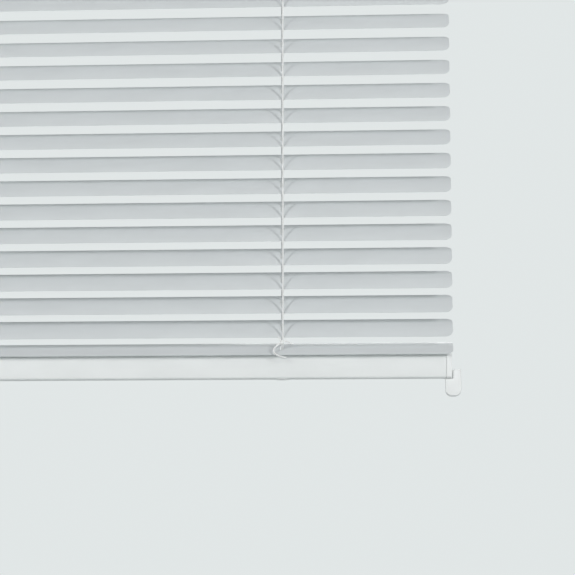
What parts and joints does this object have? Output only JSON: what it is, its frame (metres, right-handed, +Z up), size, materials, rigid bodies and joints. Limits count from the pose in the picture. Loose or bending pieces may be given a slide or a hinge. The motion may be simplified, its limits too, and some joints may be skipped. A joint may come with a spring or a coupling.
{
  "type": "venetian blind",
  "caption": "White aluminium slat blind on cord ladders under a headrail, with a tilt wand, a cord lock, a bottom rail and hold-down brackets; slats tilt and gather upwards.",
  "frame": {"origin": "centre of the four fixing holes, on the top face of the two head brackets", "axes": "+X along the slats to the right seen from the room, +Y towards the window, +Z up"},
  "size_m": [0.6036, 0.0362, 0.431],
  "materials": {
    "slat_paint": "satin white stove enamel on thin aluminium",
    "rail_paint": "satin white enamel on roll-formed steel",
    "white_plastic": "moulded, fine satin texture",
    "gear_plastic": "natural acetal, smooth",
    "steel": "bright zinc",
    "wand_plastic": "glossy, extruded",
    "cord": "braided polyester, matt"
  },
  "bodies": {
    "headrail": {"headrail": "rail_paint", "end_bracket_left": "rail_paint", "end_bracket_right": "rail_paint", "cradle_left": "white_plastic", "cradle_right": "white_plastic", "tilter_case": "white_plastic", "cord_lock_case": "white_plastic", "hold_down_left": "white_plastic", "hold_down_right": "white_plastic", "lift_cords": "cord"},
    "tilt_rod": {"tilt_rod": "steel", "tilt_drums": "gear_plastic", "worm_wheel": "gear_plastic"},
    "worm": {"worm_shaft": "gear_plastic"},
    "wand": {"tilt_wand": "wand_plastic", "wand_hook": "steel"},
    "lock_roller": {"lock_roller": "steel"},
    "bracket_door_left": {"bracket_door_left": "white_plastic"},
    "bracket_door_right": {"bracket_door_right": "white_plastic"},
    "bottom_rail": {"bottom_rail": "rail_paint", "rail_cap_left": "white_plastic", "rail_cap_right": "white_plastic", "rail_plugs": "white_plastic", "ladder_ends": "cord"},
    "ladder_front": {"ladder_front_cords": "cord"},
    "ladder_back": {"ladder_back_cords": "cord"},
    "rung_01": {"rung_01": "cord"},
    "slat_01": {"slat_01": "slat_paint"},
    "rung_02": {"rung_02": "cord"},
    "slat_02": {"slat_02": "slat_paint"},
    "rung_03": {"rung_03": "cord"},
    "slat_03": {"slat_03": "slat_paint"},
    "rung_04": {"rung_04": "cord"},
    "slat_04": {"slat_04": "slat_paint"},
    "rung_05": {"rung_05": "cord"},
    "slat_05": {"slat_05": "slat_paint"},
    "rung_06": {"rung_06": "cord"},
    "slat_06": {"slat_06": "slat_paint"},
    "rung_07": {"rung_07": "cord"},
    "slat_07": {"slat_07": "slat_paint"},
    "rung_08": {"rung_08": "cord"},
    "slat_08": {"slat_08": "slat_paint"},
    "rung_09": {"rung_09": "cord"},
    "slat_09": {"slat_09": "slat_paint"},
    "rung_10": {"rung_10": "cord"},
    "slat_10": {"slat_10": "slat_paint"},
    "rung_11": {"rung_11": "cord"},
    "slat_11": {"slat_11": "slat_paint"},
    "rung_12": {"rung_12": "cord"},
    "slat_12": {"slat_12": "slat_paint"},
    "rung_13": {"rung_13": "cord"},
    "slat_13": {"slat_13": "slat_paint"},
    "rung_14": {"rung_14": "cord"},
    "slat_14": {"slat_14": "slat_paint"},
    "rung_15": {"rung_15": "cord"},
    "slat_15": {"slat_15": "slat_paint"},
    "rung_16": {"rung_16": "cord"},
    "slat_16": {"slat_16": "slat_paint"},
    "slat_17": {"slat_17": "slat_paint", "cord_tail": "cord"}
  },
  "joints": [
    {"name": "tilt", "type": "hinge", "parent": "headrail", "child": "tilt_rod", "pos_m": [0, 0, -0.0139], "axis": [1, 0, 0], "range_deg": [-108, 18], "deforming": ["rung_01", "rung_02", "rung_03", "rung_04", "rung_05", "rung_06", "rung_07", "rung_08", "rung_09", "rung_10", "rung_11", "rung_12", "rung_13", "rung_14", "rung_15", "rung_16", "ladder_ends"]},
    {"name": "worm_turn", "type": "hinge", "parent": "headrail", "child": "worm", "pos_m": [-0.205, -0.0059, -0.00977], "axis": [0, -0.5736, -0.8192], "range_deg": [-2160, 360]},
    {"name": "wand_turn", "type": "hinge", "parent": "headrail", "child": "wand", "pos_m": [-0.205, -0.0188, 0], "axis": [0, 0, -1], "range_deg": [-2160, 360]},
    {"name": "lift", "type": "slide", "parent": "headrail", "child": "bottom_rail", "axis": [0, 0, 1], "range_m": [0, 0.277], "deforming": ["ladder_front_cords", "ladder_back_cords", "lift_cords"]},
    {"name": "rung_01_lift", "type": "slide", "parent": "headrail", "child": "rung_01", "axis": [0, 0, 1], "range_m": [0, 0.00701]},
    {"name": "slat_01_tilt", "type": "hinge", "parent": "rung_01", "child": "slat_01", "pos_m": [0, 0, -0.0479], "axis": [1, 0, 0], "range_deg": [-108, 18]},
    {"name": "rung_02_lift", "type": "slide", "parent": "headrail", "child": "rung_02", "axis": [0, 0, 1], "range_m": [0, 0.02501]},
    {"name": "slat_02_tilt", "type": "hinge", "parent": "rung_02", "child": "slat_02", "pos_m": [0, 0, -0.0694], "axis": [1, 0, 0], "range_deg": [-108, 18]},
    {"name": "rung_03_lift", "type": "slide", "parent": "headrail", "child": "rung_03", "axis": [0, 0, 1], "range_m": [0, 0.04301]},
    {"name": "slat_03_tilt", "type": "hinge", "parent": "rung_03", "child": "slat_03", "pos_m": [0, 0, -0.0909], "axis": [1, 0, 0], "range_deg": [-108, 18]},
    {"name": "rung_04_lift", "type": "slide", "parent": "headrail", "child": "rung_04", "axis": [0, 0, 1], "range_m": [0, 0.06101]},
    {"name": "slat_04_tilt", "type": "hinge", "parent": "rung_04", "child": "slat_04", "pos_m": [0, 0, -0.1124], "axis": [1, 0, 0], "range_deg": [-108, 18]},
    {"name": "rung_05_lift", "type": "slide", "parent": "headrail", "child": "rung_05", "axis": [0, 0, 1], "range_m": [0, 0.07901]},
    {"name": "slat_05_tilt", "type": "hinge", "parent": "rung_05", "child": "slat_05", "pos_m": [0, 0, -0.1339], "axis": [1, 0, 0], "range_deg": [-108, 18]},
    {"name": "rung_06_lift", "type": "slide", "parent": "headrail", "child": "rung_06", "axis": [0, 0, 1], "range_m": [0, 0.09701]},
    {"name": "slat_06_tilt", "type": "hinge", "parent": "rung_06", "child": "slat_06", "pos_m": [0, 0, -0.1554], "axis": [1, 0, 0], "range_deg": [-108, 18]},
    {"name": "rung_07_lift", "type": "slide", "parent": "headrail", "child": "rung_07", "axis": [0, 0, 1], "range_m": [0, 0.11501]},
    {"name": "slat_07_tilt", "type": "hinge", "parent": "rung_07", "child": "slat_07", "pos_m": [0, 0, -0.1769], "axis": [1, 0, 0], "range_deg": [-108, 18]},
    {"name": "rung_08_lift", "type": "slide", "parent": "headrail", "child": "rung_08", "axis": [0, 0, 1], "range_m": [0, 0.13301]},
    {"name": "slat_08_tilt", "type": "hinge", "parent": "rung_08", "child": "slat_08", "pos_m": [0, 0, -0.1984], "axis": [1, 0, 0], "range_deg": [-108, 18]},
    {"name": "rung_09_lift", "type": "slide", "parent": "headrail", "child": "rung_09", "axis": [0, 0, 1], "range_m": [0, 0.15101]},
    {"name": "slat_09_tilt", "type": "hinge", "parent": "rung_09", "child": "slat_09", "pos_m": [0, 0, -0.2199], "axis": [1, 0, 0], "range_deg": [-108, 18]},
    {"name": "rung_10_lift", "type": "slide", "parent": "headrail", "child": "rung_10", "axis": [0, 0, 1], "range_m": [0, 0.16901]},
    {"name": "slat_10_tilt", "type": "hinge", "parent": "rung_10", "child": "slat_10", "pos_m": [0, 0, -0.2414], "axis": [1, 0, 0], "range_deg": [-108, 18]},
    {"name": "rung_11_lift", "type": "slide", "parent": "headrail", "child": "rung_11", "axis": [0, 0, 1], "range_m": [0, 0.18701]},
    {"name": "slat_11_tilt", "type": "hinge", "parent": "rung_11", "child": "slat_11", "pos_m": [0, 0, -0.2629], "axis": [1, 0, 0], "range_deg": [-108, 18]},
    {"name": "rung_12_lift", "type": "slide", "parent": "headrail", "child": "rung_12", "axis": [0, 0, 1], "range_m": [0, 0.20501]},
    {"name": "slat_12_tilt", "type": "hinge", "parent": "rung_12", "child": "slat_12", "pos_m": [0, 0, -0.2844], "axis": [1, 0, 0], "range_deg": [-108, 18]},
    {"name": "rung_13_lift", "type": "slide", "parent": "headrail", "child": "rung_13", "axis": [0, 0, 1], "range_m": [0, 0.22301]},
    {"name": "slat_13_tilt", "type": "hinge", "parent": "rung_13", "child": "slat_13", "pos_m": [0, 0, -0.3059], "axis": [1, 0, 0], "range_deg": [-108, 18]},
    {"name": "rung_14_lift", "type": "slide", "parent": "headrail", "child": "rung_14", "axis": [0, 0, 1], "range_m": [0, 0.24101]},
    {"name": "slat_14_tilt", "type": "hinge", "parent": "rung_14", "child": "slat_14", "pos_m": [0, 0, -0.3274], "axis": [1, 0, 0], "range_deg": [-108, 18]},
    {"name": "rung_15_lift", "type": "slide", "parent": "headrail", "child": "rung_15", "axis": [0, 0, 1], "range_m": [0, 0.25901]},
    {"name": "slat_15_tilt", "type": "hinge", "parent": "rung_15", "child": "slat_15", "pos_m": [0, 0, -0.3489], "axis": [1, 0, 0], "range_deg": [-108, 18]},
    {"name": "rung_16_lift", "type": "slide", "parent": "headrail", "child": "rung_16", "axis": [0, 0, 1], "range_m": [0, 0.27701]},
    {"name": "slat_16_tilt", "type": "hinge", "parent": "rung_16", "child": "slat_16", "pos_m": [0, 0, -0.3704], "axis": [1, 0, 0], "range_deg": [-108, 18]},
    {"name": "slat_17_tilt", "type": "hinge", "parent": "bottom_rail", "child": "slat_17", "pos_m": [0, 0, -0.3886], "axis": [1, 0, 0], "range_deg": [-54, 9]},
    {"name": "ladder_front_hang", "type": "hinge", "parent": "tilt_rod", "child": "ladder_front", "pos_m": [0, -0.00884, -0.02274], "axis": [1, 0, 0], "range_deg": [-18, 108]},
    {"name": "ladder_back_hang", "type": "hinge", "parent": "tilt_rod", "child": "ladder_back", "pos_m": [0, 0.00884, -0.00506], "axis": [1, 0, 0], "range_deg": [-18, 108]},
    {"name": "roller_release", "type": "slide", "parent": "headrail", "child": "lock_roller", "axis": [0.5, 0, 0.866], "range_m": [0, 0.004]},
    {"name": "door_left", "type": "hinge", "parent": "headrail", "child": "bracket_door_left", "pos_m": [-0.2923, -0.01365, 0], "axis": [0, 0, -1], "range_deg": [0, 100]},
    {"name": "door_right", "type": "hinge", "parent": "headrail", "child": "bracket_door_right", "pos_m": [0.2923, -0.01365, 0], "axis": [0, 0, 1], "range_deg": [0, 100]}
  ],
  "couplings": [
    {"joint": "worm_turn", "follows": "tilt", "ratio": 20},
    {"joint": "wand_turn", "follows": "tilt", "ratio": 20},
    {"joint": "rung_01_lift", "follows": "lift", "ratio": 0.025271},
    {"joint": "slat_01_tilt", "follows": "tilt", "ratio": 1},
    {"joint": "rung_02_lift", "follows": "lift", "ratio": 0.090253},
    {"joint": "slat_02_tilt", "follows": "tilt", "ratio": 1},
    {"joint": "rung_03_lift", "follows": "lift", "ratio": 0.15523},
    {"joint": "slat_03_tilt", "follows": "tilt", "ratio": 1},
    {"joint": "rung_04_lift", "follows": "lift", "ratio": 0.22022},
    {"joint": "slat_04_tilt", "follows": "tilt", "ratio": 1},
    {"joint": "rung_05_lift", "follows": "lift", "ratio": 0.2852},
    {"joint": "slat_05_tilt", "follows": "tilt", "ratio": 1},
    {"joint": "rung_06_lift", "follows": "lift", "ratio": 0.35018},
    {"joint": "slat_06_tilt", "follows": "tilt", "ratio": 1},
    {"joint": "rung_07_lift", "follows": "lift", "ratio": 0.41516},
    {"joint": "slat_07_tilt", "follows": "tilt", "ratio": 1},
    {"joint": "rung_08_lift", "follows": "lift", "ratio": 0.48014},
    {"joint": "slat_08_tilt", "follows": "tilt", "ratio": 1},
    {"joint": "rung_09_lift", "follows": "lift", "ratio": 0.54513},
    {"joint": "slat_09_tilt", "follows": "tilt", "ratio": 1},
    {"joint": "rung_10_lift", "follows": "lift", "ratio": 0.61011},
    {"joint": "slat_10_tilt", "follows": "tilt", "ratio": 1},
    {"joint": "rung_11_lift", "follows": "lift", "ratio": 0.67509},
    {"joint": "slat_11_tilt", "follows": "tilt", "ratio": 1},
    {"joint": "rung_12_lift", "follows": "lift", "ratio": 0.74007},
    {"joint": "slat_12_tilt", "follows": "tilt", "ratio": 1},
    {"joint": "rung_13_lift", "follows": "lift", "ratio": 0.80505},
    {"joint": "slat_13_tilt", "follows": "tilt", "ratio": 1},
    {"joint": "rung_14_lift", "follows": "lift", "ratio": 0.87004},
    {"joint": "slat_14_tilt", "follows": "tilt", "ratio": 1},
    {"joint": "rung_15_lift", "follows": "lift", "ratio": 0.93502},
    {"joint": "slat_15_tilt", "follows": "tilt", "ratio": 1},
    {"joint": "rung_16_lift", "follows": "lift", "ratio": 1},
    {"joint": "slat_16_tilt", "follows": "tilt", "ratio": 1},
    {"joint": "slat_17_tilt", "follows": "tilt", "ratio": 0.5},
    {"joint": "ladder_front_hang", "follows": "tilt", "ratio": -1},
    {"joint": "ladder_back_hang", "follows": "tilt", "ratio": -1}
  ]
}
